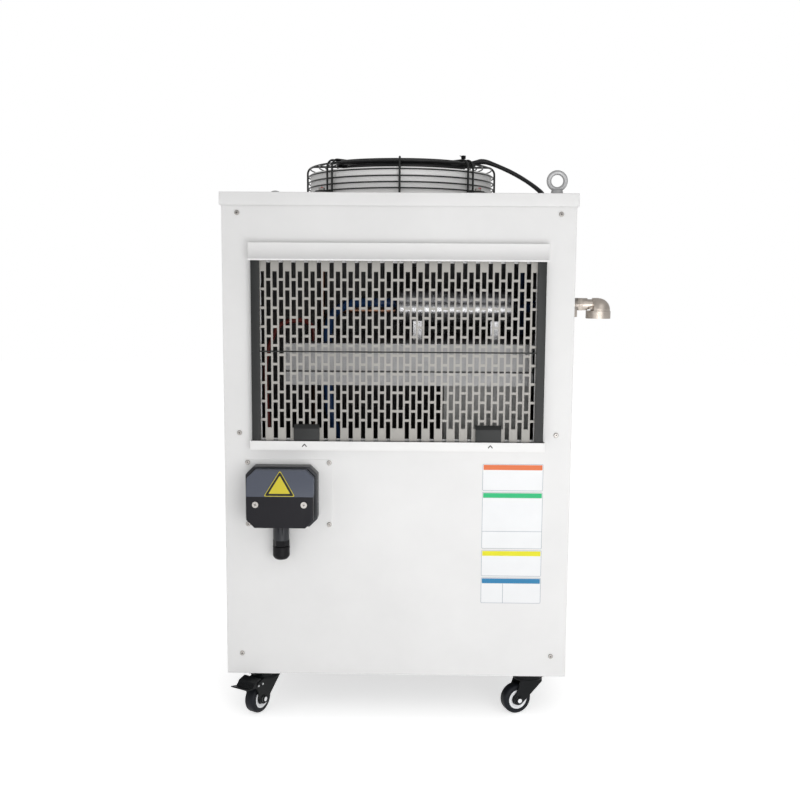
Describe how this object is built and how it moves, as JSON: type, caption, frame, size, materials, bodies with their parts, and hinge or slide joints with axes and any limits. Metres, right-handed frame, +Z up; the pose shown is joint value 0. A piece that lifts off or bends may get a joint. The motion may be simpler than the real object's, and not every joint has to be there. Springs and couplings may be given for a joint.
{
  "type": "recirculating chiller",
  "caption": "Sheet metal cabinet chiller on swivel casters with a guarded top fan, lift-out slotted air filter, junction box with cable gland, and elbowed water ports.",
  "frame": {"origin": "on the floor under the middle of the overall box, ports and junction box included", "axes": "+Z up, +X to the right and -Y towards the viewer, seen from the side with the air filter"},
  "size_m": [0.6316, 0.5184, 0.9379],
  "materials": {
    "cabinet_paint": "satin",
    "steel": "satin",
    "eye_steel": "satin",
    "filter_plastic": "matte",
    "filter_metal": "matte",
    "box_plastic": "satin",
    "black_plastic": "matte",
    "cable_black": "satin",
    "fitting_steel": "satin",
    "fan_white": "satin",
    "fan_black": "satin",
    "caster_black": "satin",
    "rim_white": "gloss",
    "tyre": "satin",
    "shell_steel": "satin",
    "control_grey": "satin",
    "tank_plastic": "matte",
    "compressor_black": "gloss",
    "pump_metal": "satin",
    "coil_aluminium": "satin",
    "hose_blue": "satin",
    "copper": "polished",
    "wire_red": "satin",
    "display_glass": "gloss"
  },
  "bodies": {
    "cabinet": {"base_pan": "cabinet_paint", "corner_posts": "cabinet_paint", "front_panel": "cabinet_paint", "back_panel": "cabinet_paint", "left_panel": "cabinet_paint", "right_panel": "cabinet_paint", "lid": "cabinet_paint", "filter_channels": "cabinet_paint", "junction_plate": "cabinet_paint", "panel_screws": "steel", "cover_screws": "steel", "fan_bolts": "steel", "shelf": "steel", "eye_bolts": "eye_steel", "junction_base": "box_plastic", "junction_cover": "box_plastic", "cable_gland": "black_plastic", "gland_nut": "black_plastic", "cable_grommets": "black_plastic", "cable_ties": "black_plastic", "filler_neck": "black_plastic", "controller": "black_plastic", "fan_cable": "cable_black", "capacitor_cable": "cable_black", "outlet_nipple": "fitting_steel", "outlet_elbow": "fitting_steel", "inlet_nipple": "fitting_steel", "inlet_elbow": "fitting_steel", "fan_shroud": "fan_white", "fan_guard": "fan_black", "fan_motor": "fan_black", "caster_plates": "caster_black", "evaporator": "shell_steel", "control_box": "control_grey", "water_tank": "tank_plastic", "compressor": "compressor_black", "pump": "pump_metal", "condenser_coil": "coil_aluminium", "coolant_hoses": "hose_blue", "copper_pipes": "copper", "wiring_loom": "wire_red", "controller_window": "display_glass"},
    "filter": {"filter_frame": "filter_plastic", "filter_plate": "filter_metal"},
    "fan": {"fan_rotor": "fan_black"},
    "filler_cap": {"filler_cap": "black_plastic"},
    "front_left_fork": {"front_left_fork": "caster_black"},
    "front_left_wheel": {"front_left_rim": "rim_white", "front_left_tyre": "tyre"},
    "front_left_pedal": {"front_left_pedal": "caster_black"},
    "front_right_fork": {"front_right_fork": "caster_black"},
    "front_right_wheel": {"front_right_rim": "rim_white", "front_right_tyre": "tyre"},
    "rear_left_fork": {"rear_left_fork": "caster_black"},
    "rear_left_wheel": {"rear_left_rim": "rim_white", "rear_left_tyre": "tyre"},
    "rear_left_pedal": {"rear_left_pedal": "caster_black"},
    "rear_right_fork": {"rear_right_fork": "caster_black"},
    "rear_right_wheel": {"rear_right_rim": "rim_white", "rear_right_tyre": "tyre"}
  },
  "joints": [
    {"name": "fan_spin", "type": "hinge", "parent": "cabinet", "child": "fan", "pos_m": [-0.03075, 0.02325, 0.8945], "axis": [0, 0, 1], "continuous": true},
    {"name": "filter_lift", "type": "slide", "parent": "cabinet", "child": "filter", "axis": [0, 0, 1], "range_m": [0, 0.014]},
    {"name": "filler_cap_turn", "type": "hinge", "parent": "cabinet", "child": "filler_cap", "pos_m": [0.20925, 0.20125, 0.8745], "axis": [0, 0, 1], "continuous": true},
    {"name": "front_left_swivel", "type": "hinge", "parent": "cabinet", "child": "front_left_fork", "pos_m": [-0.25375, -0.17475, 0.06], "axis": [0, 0, 1], "continuous": true},
    {"name": "front_left_roll", "type": "hinge", "parent": "front_left_fork", "child": "front_left_wheel", "pos_m": [-0.26475, -0.1938, 0.025], "axis": [-0.866, 0.5, 0], "continuous": true},
    {"name": "front_left_brake", "type": "hinge", "parent": "front_left_fork", "child": "front_left_pedal", "pos_m": [-0.27225, -0.20679, 0.0525], "axis": [-0.866, 0.5, 0], "range_deg": [-14, 0]},
    {"name": "front_right_swivel", "type": "hinge", "parent": "cabinet", "child": "front_right_fork", "pos_m": [0.19225, -0.17475, 0.06], "axis": [0, 0, 1], "continuous": true},
    {"name": "front_right_roll", "type": "hinge", "parent": "front_right_fork", "child": "front_right_wheel", "pos_m": [0.17181, -0.18288, 0.025], "axis": [-0.3697, 0.9291, 0], "continuous": true},
    {"name": "rear_left_swivel", "type": "hinge", "parent": "cabinet", "child": "rear_left_fork", "pos_m": [-0.25375, 0.22125, 0.06], "axis": [0, 0, 1], "continuous": true},
    {"name": "rear_left_roll", "type": "hinge", "parent": "rear_left_fork", "child": "rear_left_wheel", "pos_m": [-0.26818, 0.20465, 0.025], "axis": [-0.7547, 0.6561, 0], "continuous": true},
    {"name": "rear_left_brake", "type": "hinge", "parent": "rear_left_fork", "child": "rear_left_pedal", "pos_m": [-0.27802, 0.19333, 0.0525], "axis": [-0.7547, 0.6561, 0], "range_deg": [-14, 0]},
    {"name": "rear_right_swivel", "type": "hinge", "parent": "cabinet", "child": "rear_right_fork", "pos_m": [0.19225, 0.22125, 0.06], "axis": [0, 0, 1], "continuous": true},
    {"name": "rear_right_roll", "type": "hinge", "parent": "rear_right_fork", "child": "rear_right_wheel", "pos_m": [0.18805, 0.19965, 0.025], "axis": [-0.9816, 0.1908, 0], "continuous": true}
  ]
}
